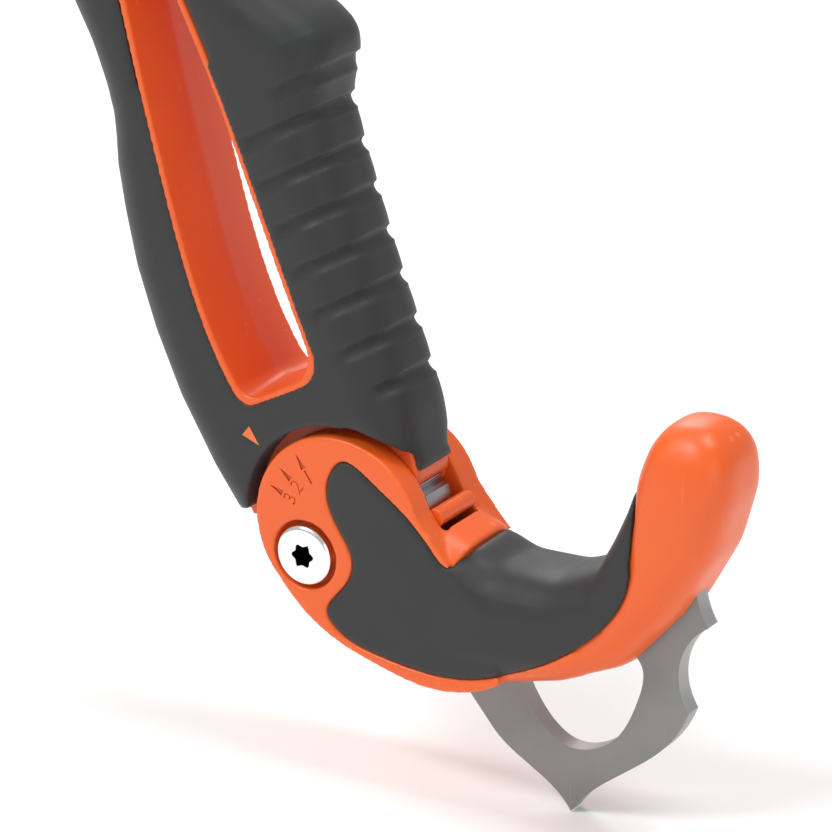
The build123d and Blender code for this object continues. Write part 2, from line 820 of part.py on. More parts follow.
with BuildPart() as shaft:
    with BuildSketch(section_plane(shaft_foot)):
        with Locations((shaft_line, 0)):
            RectangleRounded(shaft_depth, shaft_width, shaft_corner)
            RectangleRounded(
                shaft_depth - 2 * shaft_wall,
                shaft_width - 2 * shaft_wall,
                shaft_corner - shaft_wall,
                mode=Mode.SUBTRACT,
            )
    sweep(path=shaft_path.wire())

# ---- upper grip band, along the bow --------------------------------------------------------------
band_start = degrees(upper_grip_start / bow_radius)
band_turn = degrees(upper_grip_length / bow_radius)


def bow_point(turn):
    """Point of the shaft's axis after a turn along the bow, in degrees."""
    lean = radians(turn - grip_lean)
    return bow_centre + Vector(-cos(lean), 0, sin(lean)) * bow_radius


def bow_plane(turn):
    """Plane across the shaft after a turn along the bow."""
    lean = radians(turn - grip_lean)
    return Plane(origin=bow_point(turn), x_dir=(cos(lean), 0, -sin(lean)), z_dir=(sin(lean), 0, cos(lean)))


with BuildLine() as band_path:
    ThreePointArc(bow_point(band_start), bow_point(band_start + band_turn / 2), bow_point(band_start + band_turn))

with BuildPart() as upper_grip:
    with BuildSketch(bow_plane(band_start)):
        RectangleRounded(
            shaft_depth + 2 * upper_grip_wall, shaft_width + 2 * upper_grip_wall, shaft_corner + upper_grip_wall
        )
        RectangleRounded(shaft_depth, shaft_width, shaft_corner, mode=Mode.SUBTRACT)
    sweep(path=band_path.wire())
upper_grip.part.label = "upper_grip"
export_step(upper_grip.part, "parts/upper_grip.step")

# ---- head ------------------------------------------------------------------------------------------
# Seen from the near side: x forward, y up the shaft, from a datum under the shaft's end.
head_plane = Plane(
    origin=shaft_top - Vector(sin(radians(head_lean)), 0, cos(radians(head_lean))) * socket_roof,
    x_dir=(cos(radians(head_lean)), 0, -sin(radians(head_lean))),
    z_dir=side,
)
head_cross = Plane(origin=head_plane.origin, x_dir=head_plane.x_dir, z_dir=head_plane.y_dir)
skirt_half = shaft_depth / 2 + shaft_fit + skirt_wall
blade_half = blade_thickness / 2
head_half = head_width / 2

with BuildSketch(head_plane) as head_outline:
    with BuildLine():
        Line((-skirt_half, -skirt_length), (-skirt_half, -20.0))
        Line((-skirt_half, -20.0), (-clip_back + 3.0, clip_height - clip_radius - 4.0))
        ThreePointArc(
            (-clip_back + 3.0, clip_height - clip_radius - 4.0),
            (-clip_back - 8.5, clip_height - 8.0),
            (-clip_back - 12.0, clip_height - 1.0),
        )
        Line((-clip_back - 12.0, clip_height - 1.0), (-47.0, 12.0))
        Line((-47.0, 12.0), (-47.0, head_top - 1.5))
        Spline((-47.0, head_top - 1.5), (-30.0, head_top - 0.5), (0.0, head_top), (20.0, head_top - 3.0))
        Spline((20.0, head_top - 3.0), (24.0, 18.0), (21.0, 6.0), (skirt_half, -8.0))
        Line((skirt_half, -8.0), (skirt_half, -skirt_length))
        Line((skirt_half, -skirt_length), (-skirt_half, -skirt_length))
    make_face()

with BuildPart() as head_bolts:
    for x, y in bolt_places:
        with BuildSketch(head_plane.offset(head_half)):
            with Locations((x, y)):
                Circle(bolt_head_radius)
        extrude(amount=bolt_head_height, taper=18)
    with BuildSketch(head_plane.offset(-head_half - head_nut_height)):
        with Locations(*bolt_places):
            Circle(bolt_radius)
    extrude(amount=head_width + head_nut_height)
    with BuildSketch(head_plane.offset(head_half + bolt_head_height)):
        with Locations(*bolt_places):
            RegularPolygon(2.2, 6)
    extrude(amount=-1.6, mode=Mode.SUBTRACT)
head_bolts.part.label = "head_bolts"
export_step(head_bolts.part, "parts/head_bolts.step")

with BuildPart() as head_nuts:
    with BuildSketch(head_plane.offset(-head_half - head_nut_height)):
        with Locations(*bolt_places):
            RegularPolygon(head_nut_flats / 2, 6, major_radius=False)
            Circle(bolt_radius, mode=Mode.SUBTRACT)
    extrude(amount=head_nut_height)
head_nuts.part.label = "head_nuts"
export_step(head_nuts.part, "parts/head_nuts.step")

with BuildPart() as head_rivets:
    with BuildSketch(head_plane.offset(-head_half)):
        with Locations(*[(0, -drop) for drop in rivet_drops]):
            Circle(rivet_radius)
    extrude(amount=head_width)
    for face_plane in (head_plane.offset(head_half), head_plane.offset(-head_half)):
        with BuildSketch(face_plane):
            with Locations(*[(0, -drop) for drop in rivet_drops]):
                Circle(rivet_head_radius)
        amount = rivet_head_height if face_plane.origin.Y < 0 else -rivet_head_height
        extrude(amount=amount)
head_rivets.part.label = "head_rivets"
export_step(head_rivets.part, "parts/head_rivets.step")

with BuildPart() as head:
    with BuildSketch(head_plane):
        add(head_outline.sketch_local)
    extrude(amount=head_half, both=True)
    long_edges = head.faces().filter_by(Axis.Y).edges()
    chamfer(long_edges, 1.6)
    # socket of the shaft
    with BuildSketch(head_cross.offset(socket_roof)):
        RectangleRounded(
            shaft_depth + 2 * shaft_fit, shaft_width + 2 * shaft_fit, shaft_corner + shaft_fit
        )
    extrude(amount=-skirt_length - 20, mode=Mode.SUBTRACT)
    # slot of the pick and the hammer
    with BuildSketch(head_plane):
        with Locations((0, blade_floor + 30)):
            Rectangle(160, 60)
    extrude(amount=blade_half + blade_slack, both=True, mode=Mode.SUBTRACT)
    with BuildSketch(head_plane):
        with Locations(*bolt_places):
            Circle(bolt_radius)
        with Locations(*[(0, -drop) for drop in rivet_drops]):
            Circle(rivet_radius)
        with Locations((-clip_back, clip_height)):
            Circle(clip_radius)
    extrude(amount=through, both=True, mode=Mode.SUBTRACT)
head.part.label = "head"
export_step(head.part, "parts/head.step")

# ---- pick --------------------------------------------------------------------------------------------
with BuildPart() as pick:
    with BuildSketch(head_plane):
        with BuildLine():
            Line((-20.0, blade_floor), (-20.0, head_top - 1.0))
            Line((-20.0, head_top - 1.0), (20.0, head_top - 3.0))
            Spline(
                (20.0, head_top - 3.0),
                (55.0, 22.0),
                (95.0, 8.0),
                (128.0, -13.0),
                (pick_reach, -pick_tip_drop),
            )
            Line((pick_reach, -pick_tip_drop), (pick_reach - 9.0, -pick_tip_drop + 5.0))
            lower = Spline(
                (pick_reach - 9.0, -pick_tip_drop + 5.0),
                (112.0, -14.0),
                (80.0, -2.0),
                (50.0, 3.0),
                (24.0, blade_floor - 2.0),
            )
            Polyline((24.0, blade_floor - 2.0), (23.0, blade_floor), (-20.0, blade_floor))
        make_face()
        # teeth along the lower edge, closer together towards the tip
        for n in range(tooth_count):
            root = lower @ (0.03 + 0.66 * (n / tooth_count) ** 1.15)
            with Locations((root.X - 0.6, root.Y - 0.8)):
                Circle(2.5, mode=Mode.SUBTRACT)
        with Locations(*bolt_places[:2]):
            Circle(bolt_radius, mode=Mode.SUBTRACT)
        with Locations(*weight_places):
            Circle(weight_bolt_radius, mode=Mode.SUBTRACT)
    extrude(amount=blade_half, both=True)
pick.part.label = "pick"
export_step(pick.part, "parts/pick.step")

# ---- pick weights, one on each side of the pick -----------------------------------------------------------
for name, sign in (("pick_weight_near", 1), ("pick_weight_far", -1)):
    with BuildPart() as weight:
        with BuildSketch(head_plane.offset(sign * blade_half)):
            with BuildLine():
                Spline((28.0, 22.0), (45.0, 19.0), (60.0, 13.0))
                Line((60.0, 13.0), (58.0, 3.0))
                Spline((58.0, 3.0), (45.0, 5.0), (28.0, 7.0))
                Line((28.0, 7.0), (28.0, 22.0))
            make_face()
        extrude(amount=sign * weight_thickness)
        outer = weight.faces().sort_by(Axis.Y)[0 if sign > 0 else -1]
        chamfer(outer.edges(), 1.2)
        with BuildSketch(head_plane):
            with Locations(*weight_places):
                Circle(weight_bolt_radius)
        extrude(amount=through, both=True, mode=Mode.SUBTRACT)
    weight.part.label = name
    export_step(weight.part, f"parts/{name}.step")

with BuildPart() as weight_screws:
    with BuildSketch(head_plane.offset(-blade_half - weight_thickness - 3.0)):
        with Locations(*weight_places):
            Circle(weight_bolt_radius)
    extrude(amount=blade_thickness + 2 * weight_thickness + 3.0)
    for x, y in weight_places:
        with BuildSketch(head_plane.offset(blade_half + weight_thickness)):
            with Locations((x, y)):
                Circle(4.2)
        extrude(amount=2.0, taper=20)
    with BuildSketch(head_plane.offset(blade_half + weight_thickness + 2.0)):
        with Locations(*weight_places):
            RegularPolygon(1.8, 6)
    extrude(amount=-1.4, mode=Mode.SUBTRACT)
weight_screws.part.label = "weight_screws"
export_step(weight_screws.part, "parts/weight_screws.step")

with BuildPart() as weight_nuts:
    with BuildSketch(head_plane.offset(-blade_half - weight_thickness - 3.0)):
        with Locations(*weight_places):
            RegularPolygon(4.0, 6, major_radius=False)
            Circle(weight_bolt_radius, mode=Mode.SUBTRACT)
    extrude(amount=3.0)
weight_nuts.part.label = "weight_nuts"
export_step(weight_nuts.part, "parts/weight_nuts.step")

# ---- hammer ----------------------------------------------------------------------------------------------
with BuildPart() as hammer:
    with BuildSketch(head_plane):
        with Locations((-36.0, (blade_floor + head_top - 2.0) / 2 + 1.5)):
            Rectangle(31.0, head_top - blade_floor - 5.0)
        with Locations(bolt_places[2]):
            Circle(bolt_radius, mode=Mode.SUBTRACT)
    extrude(amount=blade_half, both=True)
    with BuildSketch(Plane(origin=head_plane.from_local_coords((-47.0, 20.5, 0)), x_dir=(0, 1, 0), z_dir=-head_plane.x_dir)):
        RectangleRounded(hammer_face, hammer_face - 2, 3.0)
    extrude(amount=hammer_length)
    chamfer(hammer.faces().sort_by(Axis.X)[0].edges(), 1.5)
hammer.part.label = "hammer"
export_step(hammer.part, "parts/hammer.step")

# ---- bores of the shaft, and the pins that hold it -------------------------------------------------------------
with BuildPart() as bored_shaft:
    add(shaft.part)
    with BuildSketch(head_plane):
        with Locations(*[(0, -drop) for drop in rivet_drops]):
            Circle(rivet_radius)
    extrude(amount=through, both=True, mode=Mode.SUBTRACT)
    with BuildSketch(handle_plane):
        with Locations(*[(shaft_line, height) for height in shaft_pin_heights]):
            Circle(shaft_pin_radius)
    extrude(amount=through, both=True, mode=Mode.SUBTRACT)
bored_shaft.part.label = "shaft"
export_step(bored_shaft.part, "parts/shaft.step")

with BuildPart() as shaft_pins:
    with BuildSketch(handle_plane):
        with Locations(*[(shaft_line, height) for height in shaft_pin_heights]):
            Circle(shaft_pin_radius)
    extrude(amount=grip_half - cover_wall, both=True)
shaft_pins.part.label = "shaft_pins"
export_step(shaft_pins.part, "parts/shaft_pins.step")
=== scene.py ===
import json
import math

import bmesh
import bpy
from mathutils import Matrix, Vector

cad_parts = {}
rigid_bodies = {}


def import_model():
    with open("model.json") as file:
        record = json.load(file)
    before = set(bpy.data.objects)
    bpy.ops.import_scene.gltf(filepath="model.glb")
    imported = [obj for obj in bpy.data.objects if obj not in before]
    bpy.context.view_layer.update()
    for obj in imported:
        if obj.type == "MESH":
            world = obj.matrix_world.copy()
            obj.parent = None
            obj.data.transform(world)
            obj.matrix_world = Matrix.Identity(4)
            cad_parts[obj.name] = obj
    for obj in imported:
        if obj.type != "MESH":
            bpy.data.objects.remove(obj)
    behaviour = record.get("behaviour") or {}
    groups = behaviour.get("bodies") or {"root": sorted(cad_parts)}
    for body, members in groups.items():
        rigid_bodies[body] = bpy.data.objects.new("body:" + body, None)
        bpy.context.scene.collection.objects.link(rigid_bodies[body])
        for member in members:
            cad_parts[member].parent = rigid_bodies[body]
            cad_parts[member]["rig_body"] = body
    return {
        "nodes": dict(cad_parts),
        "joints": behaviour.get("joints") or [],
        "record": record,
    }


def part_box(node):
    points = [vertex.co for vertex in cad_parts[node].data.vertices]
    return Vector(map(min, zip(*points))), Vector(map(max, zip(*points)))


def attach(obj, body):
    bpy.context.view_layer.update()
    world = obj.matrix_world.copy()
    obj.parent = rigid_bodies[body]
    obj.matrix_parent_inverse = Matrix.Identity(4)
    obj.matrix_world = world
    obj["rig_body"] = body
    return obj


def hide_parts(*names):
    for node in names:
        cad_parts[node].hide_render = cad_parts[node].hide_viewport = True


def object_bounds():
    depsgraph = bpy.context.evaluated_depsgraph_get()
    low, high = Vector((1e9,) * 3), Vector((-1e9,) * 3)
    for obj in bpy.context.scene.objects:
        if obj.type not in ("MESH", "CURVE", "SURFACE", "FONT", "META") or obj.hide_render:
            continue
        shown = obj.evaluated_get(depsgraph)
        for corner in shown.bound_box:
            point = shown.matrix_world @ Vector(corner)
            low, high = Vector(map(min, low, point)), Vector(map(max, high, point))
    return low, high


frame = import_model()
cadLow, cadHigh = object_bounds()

mm = 0.001

# Where things are, from the frame
joints = {joint["name"]: joint for joint in frame["joints"]}
pivot = Vector(joints["hand_rest_size"]["pos_m"])
clamp = Vector(joints["clamp_screw_turn"]["pos_m"])
lean = math.radians(22.8)  # the handle leans back by this much
nearSide = Vector((0, -1, 0))


view = {
    "azimuth": 31.4,
    "elevation": 20.7,
    "lens": 200.0,
    "distance": 0.889,
    "sensorWidth": 36.0,
    "clip": (0.05, 50.0),
    "target": Vector((31.0, 0, -20.3)) * mm,
}


def placeCamera():
    azimuth, elevation = math.radians(view["azimuth"]), math.radians(view["elevation"])
    back = Vector((
        math.sin(azimuth) * math.cos(elevation),
        -math.cos(azimuth) * math.cos(elevation),
        math.sin(elevation),
    ))
    data = bpy.data.cameras.new("camera")
    data.lens = view["lens"]
    data.sensor_width = view["sensorWidth"]
    data.clip_start, data.clip_end = view["clip"]
    camera = bpy.data.objects.new("camera", data)
    camera.location = view["target"] + back * view["distance"]
    camera.rotation_euler = (-back).to_track_quat("-Z", "Y").to_euler()
    bpy.context.scene.collection.objects.link(camera)
    bpy.context.scene.camera = camera


studio = {
    "worldColour": (1.0, 1.0, 1.0),
    "worldStrength": 0.5,
    "floorColour": (0.93, 0.93, 0.925),
    "floorRoughness": 0.9,
    "floorHalf": 6.0,  # half the floor's width, in metres
    "floorGap": 0.2,  # from the tip of the spike down to the floor, in mm
    # name: place, size and power of each soft panel
    "panels": {
        "keyPanel": ((-0.55, -1.0, 1.35), 0.7, 15.0),
        "fillPanel": ((1.5, -0.9, 0.35), 1.1, 3.5),
        "rimPanel": ((-0.8, 1.1, 0.9), 0.8, 8.0),
        "topPanel": ((0.35, 0.1, 1.6), 0.6, 10.0),
    },
}


def buildStudio():
    world = bpy.data.worlds.new("studio")
    world.use_nodes = True
    background = world.node_tree.nodes["Background"]
    background.inputs["Color"].default_value = (*studio["worldColour"], 1)
    background.inputs["Strength"].default_value = studio["worldStrength"]
    bpy.context.scene.world = world
    bpy.context.scene.view_settings.view_transform = "Standard"
    target = view["target"]
    for name, (place, size, power) in studio["panels"].items():
        data = bpy.data.lights.new(name, "AREA")
        data.shape = "DISK"
        data.size = size
        data.energy = power
        panel = bpy.data.objects.new(name, data)
        panel.location = place
        panel.rotation_euler = (target - panel.location).to_track_quat("-Z", "Y").to_euler()
        bpy.context.scene.collection.objects.link(panel)
    form = bmesh.new()
    bmesh.ops.create_grid(form, x_segments=1, y_segments=1, size=studio["floorHalf"])
    floorHeight = cadLow.z - studio["floorGap"] * mm
    bmesh.ops.translate(form, verts=form.verts, vec=(0, 0, floorHeight))
    mesh = bpy.data.meshes.new("floor")
    form.to_mesh(mesh)
    form.free()
    floor = bpy.data.objects.new("floor", mesh)
    bpy.context.scene.collection.objects.link(floor)
    paint = bpy.data.materials.new("floorPaint")
    paint.use_nodes = True
    shader = paint.node_tree.nodes["Principled BSDF"]
    shader.inputs["Base Color"].default_value = (*studio["floorColour"], 1)
    shader.inputs["Roughness"].default_value = studio["floorRoughness"]
    mesh.materials.append(paint)


placeCamera()
buildStudio()
print("camera, light and floor are placed")


def addNode(tree, kind, inputs=None, **settings):
    node = tree.nodes.new("ShaderNode" + kind)
    for name, value in settings.items():
        setattr(node, name, value)
    for name, value in (inputs or {}).items():
        if isinstance(value, bpy.types.NodeSocket):
            tree.links.new(value, node.inputs[name])
        else:
            node.inputs[name].default_value = value
    return node


def newGroup(name, inputs, outputs):
    tree = bpy.data.node_groups.new(name, "ShaderNodeTree")
    for label, kind, value in inputs:
        socket = tree.interface.new_socket(label, in_out="INPUT", socket_type=kind)
        socket.default_value = value
    for label, kind in outputs:
        tree.interface.new_socket(label, in_out="OUTPUT", socket_type=kind)
    return tree, tree.nodes.new("NodeGroupInput"), tree.nodes.new("NodeGroupOutput")


# Fine moulded or blasted grain, plus a slow mottle
def makeGrain():
    tree, given, out = newGroup(
        "grain",
        [("Size", "NodeSocketFloat", 0.4), ("Mottle Size", "NodeSocketFloat", 8.0)],
        [("Grain", "NodeSocketFloat"), ("Mottle", "NodeSocketFloat")],
    )
    coords = addNode(tree, "TexCoord")
    scales = []
    for label in ("Size", "Mottle Size"):  # sizes in mm become noise scales per metre
        scales.append(addNode(
            tree, "Math", {0: 1000.0, 1: given.outputs[label]}, operation="DIVIDE"
        ))
    fine = addNode(tree, "TexNoise", {
        "Vector": coords.outputs["Object"], "Scale": scales[0].outputs[0],
        "Detail": 3.0, "Roughness": 0.6,
    })
    slow = addNode(tree, "TexNoise", {
        "Vector": coords.outputs["Object"], "Scale": scales[1].outputs[0],
        "Detail": 4.0, "Roughness": 0.55,
    })
    tree.links.new(fine.outputs["Fac"], out.inputs["Grain"])
    tree.links.new(slow.outputs["Fac"], out.inputs["Mottle"])
    return tree


# Thin random scratches that run mostly one way
def makeScuffs():
    tree, given, out = newGroup(
        "scuffs",
        [("Turn", "NodeSocketFloat", 0.4), ("Spread", "NodeSocketFloat", 0.62)],
        [("Scratch", "NodeSocketFloat")],
    )
    coords = addNode(tree, "TexCoord")
    masks = []
    for turn, stretch in ((0.0, 1400.0), (1.1, 900.0)):
        angle = addNode(tree, "Math", {0: given.outputs["Turn"], 1: turn}, operation="ADD")
        turned = addNode(tree, "CombineXYZ", {"Y": angle.outputs[0]})
        mapped = addNode(tree, "Mapping", {
            "Vector": coords.outputs["Object"], "Rotation": turned.outputs[0],
            "Scale": (stretch, 260.0, 45.0),
        })
        lines = addNode(tree, "TexNoise", {
            "Vector": mapped.outputs[0], "Scale": 1.0, "Detail": 2.0, "Roughness": 0.5,
        })
        masks.append(addNode(tree, "MapRange", {
            "Value": lines.outputs["Fac"], "From Min": given.outputs["Spread"], "From Max": 0.8,
        }))
    both = addNode(
        tree, "Math", {0: masks[0].outputs[0], 1: masks[1].outputs[0]}, operation="MAXIMUM"
    )
    tree.links.new(both.outputs[0], out.inputs["Scratch"])
    return tree


# Bright on worn ridges, and painted shade darkening the creases; the noise breaks the wear up
def makeEdgeWearAndCreaseShade():
    tree, given, out = newGroup(
        "edgeWearAndCreaseShade",
        [("Amount", "NodeSocketFloat", 0.5)],
        [("Worn", "NodeSocketFloat"), ("ShadeInCreases", "NodeSocketFloat")],
    )
    shape = addNode(tree, "NewGeometry")
    coords = addNode(tree, "TexCoord")
    broken = addNode(tree, "TexNoise", {
        "Vector": coords.outputs["Object"], "Scale": 700.0, "Detail": 4.0,
    })
    ridge = addNode(tree, "MapRange", {
        "Value": shape.outputs["Pointiness"], "From Min": 0.51, "From Max": 0.6,
    })
    worn = addNode(tree, "Math", {
        0: ridge.outputs[0], 1: broken.outputs["Fac"],
    }, operation="MULTIPLY")
    some = addNode(tree, "Math", {
        0: worn.outputs[0], 1: given.outputs["Amount"],
    }, operation="MULTIPLY", use_clamp=True)
    # painted shade: concave creases, where shade falls, are marked for darkening
    creaseShade = addNode(tree, "MapRange", {
        "Value": shape.outputs["Pointiness"], "From Min": 0.49, "From Max": 0.43,
    })
    tree.links.new(some.outputs[0], out.inputs["Worn"])
    tree.links.new(creaseShade.outputs[0], out.inputs["ShadeInCreases"])
    return tree


# How much a face is a cut edge of a flat plate, not its broad side
def makeCutEdge():
    tree, given, out = newGroup(
        "cutEdge", [("Softness", "NodeSocketFloat", 0.35)], [("Edge", "NodeSocketFloat")]
    )
    coords = addNode(tree, "TexCoord")
    parts = addNode(tree, "SeparateXYZ", {"Vector": coords.outputs["Normal"]})
    across = addNode(tree, "Math", {0: parts.outputs["Y"]}, operation="ABSOLUTE")
    edge = addNode(tree, "MapRange", {
        "Value": across.outputs[0], "From Min": 0.9, "From Max": given.outputs["Softness"],
    })
    tree.links.new(edge.outputs[0], out.inputs["Edge"])
    return tree


# Long fine lines across the tool, as left by a grinding belt
def makeBrushing():
    tree, given, out = newGroup(
        "brushing", [("Stretch", "NodeSocketVector", (2600.0, 60.0, 2600.0))],
        [("Lines", "NodeSocketFloat")],
    )
    coords = addNode(tree, "TexCoord")
    mapped = addNode(tree, "Mapping", {
        "Vector": coords.outputs["Object"], "Scale": given.outputs["Stretch"],
    })
    lines = addNode(tree, "TexNoise", {
        "Vector": mapped.outputs[0], "Scale": 1.0, "Detail": 3.0, "Roughness": 0.65,
    })
    tree.links.new(lines.outputs["Fac"], out.inputs["Lines"])
    return tree


groups = {
    "grain": makeGrain(),
    "scuffs": makeScuffs(),
    "edgeWearAndCreaseShade": makeEdgeWearAndCreaseShade(),
    "cutEdge": makeCutEdge(),
    "brushing": makeBrushing(),
}


def useGroup(tree, name, **inputs):
    node = tree.nodes.new("ShaderNodeGroup")
    node.node_tree = groups[name]
    for label, value in inputs.items():
        node.inputs[label.replace("_", " ")].default_value = value
    return node


def mixColour(tree, factor, first, second):
    node = tree.nodes.new("ShaderNodeMix")
    node.data_type = "RGBA"
    tree.links.new(factor, node.inputs[0])
    for socket, value in ((node.inputs[6], first), (node.inputs[7], second)):
        if isinstance(value, bpy.types.NodeSocket):
            tree.links.new(value, socket)
        else:
            socket.default_value = (*value, 1)
    return node.outputs[2]


def startMaterial(name, sockets):
    material = bpy.data.materials.new(name)
    material.use_nodes = True
    shader = material.node_tree.nodes["Principled BSDF"]
    for label, value in sockets.items():
        shader.inputs[label].default_value = value
    return material, material.node_tree, shader


def finishSurface(tree, shader, colour, roughness, height, strength, depth):
    tree.links.new(colour, shader.inputs["Base Color"])
    tree.links.new(roughness, shader.inputs["Roughness"])
    bump = addNode(tree, "Bump", {"Strength": strength, "Distance": depth * mm, "Height": height})
    tree.links.new(bump.outputs[0], shader.inputs["Normal"])


# Soft overmoulded rubber: matt, faintly dusty, rubbed smoother on its ridges, with painted shade in its
# creases
def rubber(name, look):
    material, tree, shader = startMaterial(name, {
        "Sheen Weight": look["sheen"], "Sheen Roughness": 0.5, "Specular IOR Level": 0.42,
    })
    grain = useGroup(tree, "grain", Size=look["grain"], Mottle_Size=look["mottle"])
    edge = useGroup(tree, "edgeWearAndCreaseShade", Amount=0.9)
    base = mixColour(tree, grain.outputs["Mottle"], look["dark"], look["light"])
    rubbed = mixColour(tree, edge.outputs["Worn"], base, look["rubbed"])
    # painted shade: the creases are darkened toward the crease colour
    creaseShaded = mixColour(tree, edge.outputs["ShadeInCreases"], rubbed, look["creaseShade"])
    rough = addNode(tree, "MapRange", {
        "Value": grain.outputs["Mottle"], "From Min": 0.3, "From Max": 0.7,
        "To Min": look["roughness"][0], "To Max": look["roughness"][1],
    })
    finishSurface(tree, shader, creaseShaded, rough.outputs[0], grain.outputs["Grain"], 0.25, look["depth"])
    return material


# Satin moulded nylon with fine tooling grain, light scuffs and painted shade in its creases
def nylon(name, look):
    material, tree, shader = startMaterial(name, {
        "Specular IOR Level": 0.5, "Subsurface Weight": look["glow"],
        "Subsurface Radius": (1.0, 0.35, 0.15), "Subsurface Scale": 1.2 * mm,
    })
    grain = useGroup(tree, "grain", Size=look["grain"], Mottle_Size=14.0)
    edge = useGroup(tree, "edgeWearAndCreaseShade", Amount=0.8)
    scuffs = useGroup(tree, "scuffs", Turn=0.7, Spread=0.70)
    base = mixColour(tree, grain.outputs["Mottle"], look["dark"], look["light"])
    scuffed = mixColour(tree, scuffs.outputs["Scratch"], base, look["scuff"])
    rubbed = mixColour(tree, edge.outputs["Worn"], scuffed, look["rubbed"])
    # painted shade: the creases are darkened toward the crease colour
    creaseShaded = mixColour(tree, edge.outputs["ShadeInCreases"], rubbed, look["creaseShade"])
    rough = addNode(tree, "MapRange", {
        "Value": grain.outputs["Mottle"], "From Min": 0.3, "From Max": 0.7,
        "To Min": look["roughness"][0], "To Max": look["roughness"][1],
    })
    finishSurface(tree, shader, creaseShaded, rough.outputs[0], grain.outputs["Grain"], 0.2, 0.02)
    return material


# Flat plate: blasted broad sides, lighter cut edges, scratches from rock and ice
def plateSteel(name, look):
    material, tree, shader = startMaterial(name, {"Metallic": look["metallic"]})
    grain = useGroup(tree, "grain", Size=look["grain"], Mottle_Size=9.0)
    cut = useGroup(tree, "cutEdge")
    scuffs = useGroup(tree, "scuffs", Turn=look["turn"], Spread=look["spread"])
    base = mixColour(tree, grain.outputs["Mottle"], look["dark"], look["light"])
    edged = mixColour(tree, cut.outputs["Edge"], base, look["edge"])
    scuffed = mixColour(tree, scuffs.outputs["Scratch"], edged, look["scratch"])
    rough = addNode(tree, "MapRange", {
        "Value": scuffs.outputs["Scratch"], "To Min": look["roughness"][1],
        "To Max": look["roughness"][0],
    })
    finishSurface(tree, shader, scuffed, rough.outputs[0], grain.outputs["Grain"], 0.35, look["depth"])
    return material


# Brushed or turned steel, with the tool's fine lines in colour, gloss and height
def groundSteel(name, look):
    material, tree, shader = startMaterial(name, {"Metallic": 1.0})
    brushing = useGroup(tree, "brushing", Stretch=look["stretch"])
    grain = useGroup(tree, "grain", Size=0.25, Mottle_Size=5.0)
    base = mixColour(tree, brushing.outputs["Lines"], look["dark"], look["light"])
    mottled = mixColour(tree, grain.outputs["Mottle"], base, look["stain"])
    rough = addNode(tree, "MapRange", {
        "Value": brushing.outputs["Lines"], "From Min": 0.3, "From Max": 0.7,
        "To Min": look["roughness"][0], "To Max": look["roughness"][1],
    })
    finishSurface(tree, shader, mottled, rough.outputs[0], brushing.outputs["Lines"], 0.3, 0.01)
    return material
